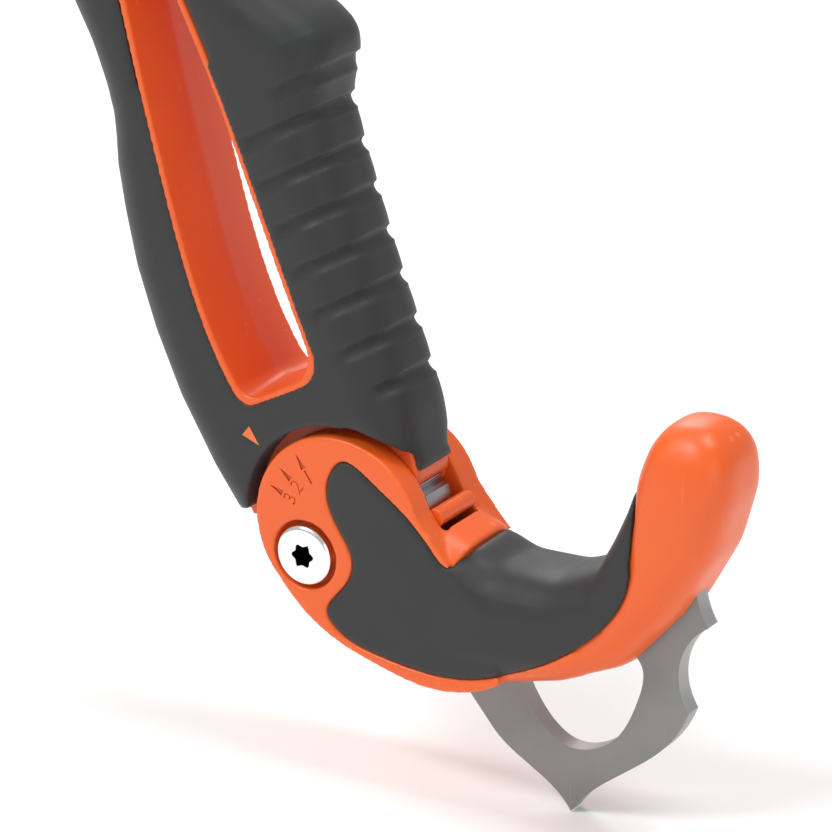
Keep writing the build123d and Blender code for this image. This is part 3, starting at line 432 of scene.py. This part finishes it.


# the crease colours of the rubbers and nylons are painted shade for their concave creases
materials = {
    "cover_rubber": rubber("coverRubber", {
        "dark": (0.017, 0.018, 0.018), "light": (0.027, 0.028, 0.0275), "rubbed": (0.050, 0.051, 0.050),
        "creaseShade": (0.010, 0.010, 0.010), "roughness": (0.48, 0.60), "sheen": 0.06,
        "grain": 0.35, "mottle": 11.0, "depth": 0.04,
    }),
    "pad_rubber": rubber("padRubber", {
        "dark": (0.018, 0.019, 0.019), "light": (0.028, 0.029, 0.0285), "rubbed": (0.050, 0.050, 0.049),
        "creaseShade": (0.011, 0.011, 0.011), "roughness": (0.48, 0.60), "sheen": 0.06,
        "grain": 0.3, "mottle": 8.0, "depth": 0.04,
    }),
    "band_rubber": rubber("bandRubber", {
        "dark": (0.022, 0.022, 0.022), "light": (0.036, 0.036, 0.037), "rubbed": (0.07, 0.07, 0.07),
        "creaseShade": (0.012, 0.012, 0.012), "roughness": (0.6, 0.74), "sheen": 0.1,
        "grain": 0.6, "mottle": 6.0, "depth": 0.12,
    }),
    "orange_core": nylon("coreNylon", {
        "dark": (0.74, 0.094, 0.010), "light": (0.82, 0.118, 0.014), "rubbed": (0.90, 0.21, 0.06),
        "scuff": (0.86, 0.15, 0.032), "creaseShade": (0.50, 0.055, 0.009), "glow": 0.12,
        "roughness": (0.34, 0.46), "grain": 0.3,
    }),
    "orange_rest": nylon("restNylon", {
        "dark": (0.77, 0.104, 0.011), "light": (0.85, 0.128, 0.016), "rubbed": (0.92, 0.23, 0.07),
        "scuff": (0.89, 0.165, 0.036), "creaseShade": (0.52, 0.058, 0.010), "glow": 0.12,
        "roughness": (0.32, 0.44), "grain": 0.3,
    }),
    "spike_steel": plateSteel("spikeSteel", {
        "dark": (0.235, 0.235, 0.23), "light": (0.29, 0.29, 0.285), "edge": (0.40, 0.40, 0.395),
        "scratch": (0.33, 0.33, 0.325), "roughness": (0.42, 0.54), "metallic": 0.55,
        "grain": 0.22, "turn": 0.3, "spread": 0.72, "depth": 0.02,
    }),
    "pick_steel": plateSteel("pickSteel", {
        "dark": (0.20, 0.20, 0.2), "light": (0.28, 0.28, 0.275), "edge": (0.42, 0.42, 0.41),
        "scratch": (0.5, 0.5, 0.49), "roughness": (0.3, 0.46), "metallic": 0.8,
        "grain": 0.22, "turn": 1.2, "spread": 0.62, "depth": 0.03,
    }),
    "hammer_steel": plateSteel("hammerSteel", {
        "dark": (0.22, 0.22, 0.22), "light": (0.3, 0.3, 0.3), "edge": (0.34, 0.34, 0.33),
        "scratch": (0.5, 0.5, 0.49), "roughness": (0.3, 0.46), "metallic": 0.85,
        "grain": 0.3, "turn": 0.2, "spread": 0.6, "depth": 0.04,
    }),
    "weight_steel": plateSteel("weightSteel", {
        "dark": (0.27, 0.27, 0.27), "light": (0.36, 0.36, 0.35), "edge": (0.42, 0.42, 0.41),
        "scratch": (0.55, 0.55, 0.54), "roughness": (0.3, 0.44), "metallic": 0.9,
        "grain": 0.25, "turn": 0.9, "spread": 0.63, "depth": 0.03,
    }),
    "head_alloy": plateSteel("headAlloy", {
        "dark": (0.045, 0.046, 0.048), "light": (0.065, 0.066, 0.068), "edge": (0.075, 0.076, 0.078),
        "scratch": (0.22, 0.22, 0.22), "roughness": (0.36, 0.5), "metallic": 0.35,
        "grain": 0.3, "turn": 0.5, "spread": 0.68, "depth": 0.05,
    }),
    "shaft_alloy": plateSteel("shaftAlloy", {
        "dark": (0.026, 0.027, 0.029), "light": (0.036, 0.037, 0.04), "edge": (0.032, 0.033, 0.036),
        "scratch": (0.16, 0.16, 0.17), "roughness": (0.3, 0.4), "metallic": 0.55,
        "grain": 0.3, "turn": 0.35, "spread": 0.7, "depth": 0.015,
    }),
    "rack_steel": groundSteel("rackSteel", {
        "dark": (0.34, 0.36, 0.40), "light": (0.62, 0.64, 0.68), "stain": (0.44, 0.45, 0.48),
        "stretch": (2600.0, 60.0, 2600.0), "roughness": (0.26, 0.42),
    }),
    "screw_steel": groundSteel("screwSteel", {
        "dark": (0.86, 0.86, 0.87), "light": (0.95, 0.95, 0.955), "stain": (0.90, 0.90, 0.905),
        "stretch": (500.0, 500.0, 500.0), "roughness": (0.16, 0.26),
    }),
    "nut_steel": groundSteel("nutSteel", {
        "dark": (0.45, 0.45, 0.46), "light": (0.68, 0.68, 0.69), "stain": (0.52, 0.52, 0.53),
        "stretch": (900.0, 120.0, 900.0), "roughness": (0.24, 0.38),
    }),
    "pin_steel": groundSteel("pinSteel", {
        "dark": (0.38, 0.38, 0.39), "light": (0.6, 0.6, 0.61), "stain": (0.46, 0.46, 0.47),
        "stretch": (1500.0, 90.0, 1500.0), "roughness": (0.26, 0.4),
    }),
}
materials["mark_orange"] = materials["orange_rest"]
slotOf = {part["node"]: part["material_slot"] for part in frame["record"]["subparts"]}
for node, part in frame["nodes"].items():
    part.data.materials.clear()
    part.data.materials.append(materials[slotOf[node]])
print("materials are made and every CAD node has one")


# A bmesh of the node's mesh, with its loose triangles joined
def mergedCopy(node):
    form = bmesh.new()
    form.from_mesh(frame["nodes"][node].data)
    bmesh.ops.remove_doubles(form, verts=form.verts, dist=0.002 * mm)
    bmesh.ops.recalc_face_normals(form, faces=form.faces)
    return form


# A finished piece from a bmesh, which stands for the CAD nodes named
def makePiece(form, name, nodes, sharpAngle=None):
    mesh = bpy.data.meshes.new(name)
    form.to_mesh(mesh)
    form.free()
    piece = bpy.data.objects.new(name, mesh)
    bpy.context.scene.collection.objects.link(piece)
    mesh.shade_smooth()
    if sharpAngle is not None:
        mesh.set_sharp_from_angle(angle=math.radians(sharpAngle))
    first = nodes[0]
    mesh.materials.append(materials[slotOf[first]])
    body = frame["nodes"][first]["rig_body"]
    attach(piece, body)
    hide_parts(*nodes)
    return piece


# hard pieces get their real, slightly broken edges: node, new name, width of the bevel
hardPieces = {
    "spike": ("spikePlate", 0.22),
    "clamp_nut": ("clampNut", 0.25),
    "rack": ("sizeRack", 0.10),
    "pivot_cap": ("pivotCap", 0.15),
    "pick": ("pickBlade", 0.20),
    "hammer": ("hammerHead", 0.35),
    "head": ("forgedHead", 0.35),
    "head_bolts": ("headBolts", 0.25),
    "head_nuts": ("headNuts", 0.25),
    "head_rivets": ("headRivets", 0.25),
    "pick_weight_near": ("nearWeight", 0.30),
    "pick_weight_far": ("farWeight", 0.30),
    "weight_screws": ("weightScrews", 0.20),
    "weight_nuts": ("weightNuts", 0.20),
}


brokenEdges = {
    "flatAngle": 1.0,  # faces that turn less than this are joined
    "sharpAngle": 28,  # edges that turn more than this are bevelled
    "shadeAngle": 35,
    "segments": 2,
}


def breakEdges():
    look = brokenEdges
    for node, (name, width) in hardPieces.items():
        form = mergedCopy(node)
        bmesh.ops.dissolve_limit(
            form, angle_limit=math.radians(look["flatAngle"]),
            verts=form.verts, edges=form.edges,
        )
        limit = math.radians(look["sharpAngle"])
        sharp = [e for e in form.edges if e.is_manifold and e.calc_face_angle(0) > limit]
        bmesh.ops.bevel(
            form, geom=sharp, offset=width * mm, offset_type="OFFSET", affect="EDGES",
            segments=look["segments"], profile=0.5, material=-1, clamp_overlap=True,
        )
        bmesh.ops.triangulate(form, faces=[f for f in form.faces if len(f.verts) > 4])
        makePiece(form, name, [node], look["shadeAngle"])
        print("edges broken on", name)


# An even skin over a rough form, then eased by smoothing passes
def remeshed(form, voxel, smoothing):
    mesh = bpy.data.meshes.new("rough")
    form.to_mesh(mesh)
    form.free()
    rough = bpy.data.objects.new("rough", mesh)
    bpy.context.scene.collection.objects.link(rough)
    skin = rough.modifiers.new("skin", "REMESH")
    skin.mode = "VOXEL"
    skin.voxel_size = voxel * mm
    graph = bpy.context.evaluated_depsgraph_get()
    even = bpy.data.meshes.new_from_object(rough.evaluated_get(graph))
    result = bmesh.new()
    result.from_mesh(even)
    bpy.data.objects.remove(rough)
    bpy.data.meshes.remove(even)
    for _ in range(smoothing):
        bmesh.ops.smooth_vert(
            result, verts=result.verts, factor=0.5,
            use_axis_x=True, use_axis_y=True, use_axis_z=True,
        )
    return result


def handlePlace(point):  # forward of the grip's line, up the handle, towards the near side, in mm
    return (
        (point.x * math.cos(lean) + point.z * math.sin(lean)) / mm,
        (-point.x * math.sin(lean) + point.z * math.cos(lean)) / mm,
        -point.y / mm,
    )


def restPlace(point):  # forward of the pivot, above it, towards the near side, in mm
    return (point.x - pivot.x) / mm, (point.z - pivot.z) / mm, -point.y / mm


def ease(form, chosen, passes, factor=0.5):
    for _ in range(passes):
        bmesh.ops.smooth_vert(
            form, verts=chosen, factor=factor,
            use_axis_x=True, use_axis_y=True, use_axis_z=True,
        )


def step(low, high, value):  # smooth rise from 0 to 1
    share = min(max((value - low) / (high - low), 0.0), 1.0)
    return share * share * (3 - 2 * share)


clampScrew = {
    "headRadius": 6.05,
    "headHeight": 3.6,
    "chamfer": 0.55,
    "shankRadius": 3.0,
    "driveRadius": 2.15,  # middle of the six lobes
    "lobeRadius": 0.62,
    "driveDepth": 1.3,
}


def makeClampScrew():
    look = clampScrew
    low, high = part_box("clamp_screw")
    near, far = low.y / mm, high.y / mm
    form = bmesh.new()
    seat = near + look["headHeight"]
    lobes = 6
    perLobe = 8
    rings = []

    def ring(radius, y, drive=0.0):
        corners = []
        for n in range(lobes * perLobe):
            turn = 2 * math.pi * n / (lobes * perLobe)
            reach = radius + drive * math.cos(lobes * turn)
            corners.append(form.verts.new((
                clamp.x + reach * math.cos(turn) * mm, y * mm, clamp.z + reach * math.sin(turn) * mm
            )))
        edges = [form.edges.new((corners[n - 1], corners[n])) for n in range(len(corners))]
        rings.append((corners, edges))

    ring(look["driveRadius"] - 0.25, near + look["driveDepth"], look["lobeRadius"] / 2)
    ring(look["driveRadius"] - 0.2, near + 0.25, look["lobeRadius"] / 2)
    ring(look["driveRadius"] + 0.05, near, look["lobeRadius"] / 2)
    ring(look["driveRadius"] + 0.7, near, 0.0)
    ring(look["headRadius"] - look["chamfer"] - 0.5, near + 0.02)
    ring(look["headRadius"] - look["chamfer"], near + 0.06)
    ring(look["headRadius"] - 0.2, near + 0.25)
    ring(look["headRadius"], near + look["chamfer"])
    ring(look["headRadius"], seat - 0.2)
    ring(look["headRadius"] - 0.2, seat)
    ring(look["shankRadius"] + 0.01, seat)
    ring(look["shankRadius"], seat + 0.2)
    ring(look["shankRadius"], far - 0.6)
    ring(look["shankRadius"] - 0.6, far)
    for (_, first), (_, second) in zip(rings, rings[1:]):
        bmesh.ops.bridge_loops(form, edges=first + second)
    for corners in (rings[0][0], rings[-1][0]):
        form.faces.new(corners)
    bmesh.ops.recalc_face_normals(form, faces=form.faces)
    makePiece(form, "clampScrew", ["clamp_screw"], 32)
    print("clamp screw turned, with its six-lobed drive")


gripCover = {
    "voxel": 0.6,
    "easing": 2,
    "cheekFront": 11.5,  # eased from here forward, over these heights
    "cheekHeights": (-39, 60),
    "cheekEasing": 40,
    "necking": 46,  # eased from here up
    "neckEasing": 30,
    "lipHeight": 0.16,  # share of the groove's depth
    "lipDrop": 0.2,
    "lipWidth": 0.42,
    "grooves": 7,
    "lowestGroove": -21.9,
    "groovePitch": 8.8,
    "ledgeGroove": 38.4,
    "grooveDepth": 0.8,
    "grooveHeight": 2.7,
    "grooveTilt": 0.07,
    "grooveStart": (19.6, 16.4, 13.6, 12.8, 12.4, 12.0, 11.8, 22.6),  # left ends, lowest first
}


def makeGripCover():
    look = gripCover
    form = remeshed(mergedCopy("grip_cover"), look["voxel"], look["easing"])
    low, high = look["cheekHeights"]
    cheek = [
        v for v in form.verts
        if handlePlace(v.co)[0] > look["cheekFront"] and low < handlePlace(v.co)[1] < high
    ]
    ease(form, cheek, look["cheekEasing"])
    neck = [v for v in form.verts if handlePlace(v.co)[1] > look["necking"]]
    ease(form, neck, look["neckEasing"])
    form.normal_update()
    tops = [look["lowestGroove"] + look["groovePitch"] * n for n in range(look["grooves"])]
    tops.append(look["ledgeGroove"])
    moves = []
    for v in form.verts:
        forward, up, _ = handlePlace(v.co)
        inward = 0.0
        for top, start in zip(tops, look["grooveStart"]):
            below = (top + look["grooveTilt"] * (forward - start)) - up
            if -1.0 < below < look["grooveHeight"] + 1.0 and forward > start - 1:
                along = step(start - 0.6, start + 3.0, forward)
                reach = min(max((below - 0.2) / look["grooveHeight"], 0.0), 1.0)
                fall = step(-0.35, 0.3, below) * (1 - reach * reach)
                rise = (below - look["grooveHeight"] - look["lipDrop"]) / look["lipWidth"]
                lip = look["lipHeight"] * math.exp(-rise ** 2)
                inward = max(inward, along * fall) - along * lip
        if inward and (v.normal.z * math.sin(lean) + v.normal.x * math.cos(lean) > -0.3):
            moves.append((v, inward * look["grooveDepth"] * mm))
    for v, amount in moves:
        v.co -= v.normal * amount
    makePiece(form, "gripCover", ["grip_cover"])
    print("grip cover moulded, with", len(tops), "grooves a side")


handleCore = {
    "voxel": 0.6,
    "easing": 4,
    "loopHeights": (-18.0, 80.0),
    "loopReach": 13,  # walls of the loop lie this near to the grip's line
    "endHeight": 4,  # height of the loop's lower end
    "draft": 1.1,
    "halfWidth": 10.5,
}


def makeHandleCore():
    look = handleCore
    form = remeshed(mergedCopy("handle_core"), look["voxel"], look["easing"])
    form.normal_update()
    forwardWay = Vector((math.cos(lean), 0, math.sin(lean)))
    upWay = Vector((-math.sin(lean), 0, math.cos(lean)))
    low, high = look["loopHeights"]
    for v in form.verts:  # both halves of the loop's wall are drafted, so they meet in a crease
        forward, up, across = handlePlace(v.co)
        inLoop = low - look["endHeight"] < up < high and abs(forward) < look["loopReach"]
        if inLoop and abs(v.normal.y) < 0.5:
            sideWall = v.normal.dot(forwardWay) * -forward > 1.0
            endWall = up < low + look["endHeight"] and v.normal.dot(upWay) > 0.5
            if sideWall or endWall:
                rise = look["draft"] * (1 - min(abs(across) / look["halfWidth"], 1.0))
                v.co += v.normal * rise * mm
    makePiece(form, "handleCore", ["handle_core"])
    print("handle core moulded")


handRest = {
    "voxel": 0.48,
    "easing": 3,
    "hornFront": 52,  # the horn is forward of this and above the next
    "hornFoot": -22,
    "slotHalf": 2.8,  # the spike's slot keeps its edges, up to its top
    "slotTop": 6,
    "hornEasing": 70,
    "lastEasing": 2,
}

sizeMarks = {
    "sizes": {"1": 124.0, "2": 142.0, "3": 158.0},  # numeral: its angle about the pivot
    "face": 12.15,  # side of the hand rest, from the tool's middle
    "depth": 0.28,
    "arrowTip": 16.6,
    "arrowBase": 13.3,
    "arrowHalf": 0.65,
    "numeralPlace": 11.3,
    "numeralSize": 4.2,
}


def engraveSizes(piece):
    # one arrow and one numeral for each size, sunk in the near side of the round head
    look = sizeMarks
    cutter = bmesh.new()
    for numeral, angle in look["sizes"].items():
        turn = math.radians(angle)
        outward = Vector((math.cos(turn), 0, math.sin(turn)))
        along = Vector((math.sin(turn), 0, -math.cos(turn)))
        base = pivot - Vector((0, (look["face"] - look["depth"]) * mm, 0))
        corners = [
            cutter.verts.new(base + outward * look["arrowTip"] * mm),
            cutter.verts.new(base + (outward * look["arrowBase"] + along * look["arrowHalf"]) * mm),
            cutter.verts.new(base + (outward * look["arrowBase"] - along * look["arrowHalf"]) * mm),
        ]
        face = cutter.faces.new(corners)
        raised = bmesh.ops.extrude_face_region(cutter, geom=[face])["geom"]
        bmesh.ops.translate(
            cutter, verts=[e for e in raised if isinstance(e, bmesh.types.BMVert)],
            vec=Vector((0, -1.0, 0)) * mm,
        )
        # the numeral stands with its top outwards
        letters = bpy.data.curves.new("numeral", "FONT")
        letters.body = numeral
        letters.size = look["numeralSize"] * mm
        letters.align_x = "CENTER"
        letters.align_y = "CENTER"
        letters.extrude = 0.5 * mm
        holder = bpy.data.objects.new("numeral", letters)
        bpy.context.scene.collection.objects.link(holder)
        graph = bpy.context.evaluated_depsgraph_get()
        flat = bpy.data.meshes.new_from_object(holder.evaluated_get(graph))
        bpy.data.objects.remove(holder)
        place = Matrix((along, outward, nearSide)).transposed().to_4x4()
        place.translation = base + outward * look["numeralPlace"] * mm + nearSide * 0.5 * mm
        flat.transform(place)
        cutter.from_mesh(flat)
        bpy.data.meshes.remove(flat)
    bmesh.ops.recalc_face_normals(cutter, faces=cutter.faces)
    mesh = bpy.data.meshes.new("sizeCutter")
    cutter.to_mesh(mesh)
    cutter.free()
    tool = bpy.data.objects.new("sizeCutter", mesh)
    bpy.context.scene.collection.objects.link(tool)
    cut = piece.modifiers.new("sizes", "BOOLEAN")
    cut.object = tool
    cut.operation = "DIFFERENCE"
    cut.solver = "EXACT"
    graph = bpy.context.evaluated_depsgraph_get()
    carved = bpy.data.meshes.new_from_object(piece.evaluated_get(graph))
    piece.modifiers.clear()
    old = piece.data
    piece.data = carved
    bpy.data.meshes.remove(old)
    bpy.data.objects.remove(tool)
    bpy.data.meshes.remove(mesh)
    carved.shade_smooth()
    carved.set_sharp_from_angle(angle=math.radians(40))
    print("sizes engraved on", piece.name)


def makeHandRest():
    look = handRest
    form = remeshed(mergedCopy("handrest_body"), look["voxel"], look["easing"])
    horn = [
        v for v in form.verts
        if restPlace(v.co)[0] > look["hornFront"] and restPlace(v.co)[1] > look["hornFoot"]
        and (abs(v.co.y) > look["slotHalf"] * mm or restPlace(v.co)[1] > look["slotTop"])
    ]
    ease(form, horn, look["hornEasing"])
    ease(form, form.verts, look["lastEasing"])
    piece = makePiece(form, "handRest", ["handrest_body"])
    engraveSizes(piece)
    print("hand rest moulded")


palmPad = {
    "voxel": 0.42,
    "easing": 6,
    "saddleFront": 26,  # the saddle lies forward of this
    "saddleHalf": 11.6,
    "saddleEasing": 60,
}


def makePalmPad():
    look = palmPad
    form = remeshed(mergedCopy("handrest_pad"), look["voxel"], look["easing"])
    saddle = []
    for v in form.verts:
        forward, _, across = restPlace(v.co)
        onSaddle = forward > look["saddleFront"] and abs(across) < look["saddleHalf"]
        if onSaddle and v.normal.z > -0.2:
            saddle.append(v)
    ease(form, saddle, look["saddleEasing"])
    makePiece(form, "palmPad", ["handrest_pad"])
    print("palm pad moulded")


# node: new name, voxel and easing
smallMoulded = {
    "index_rib": ("indexRib", 0.15, 2),
    "upper_grip": ("upperBand", 0.5, 3),
}


def makeSmallMoulded():
    for node, (name, voxel, easing) in smallMoulded.items():
        makePiece(remeshed(mergedCopy(node), voxel, easing), name, [node])
        print(name, "moulded")


breakEdges()
makeClampScrew()
makeGripCover()
makeHandleCore()
makeHandRest()
makePalmPad()
makeSmallMoulded()
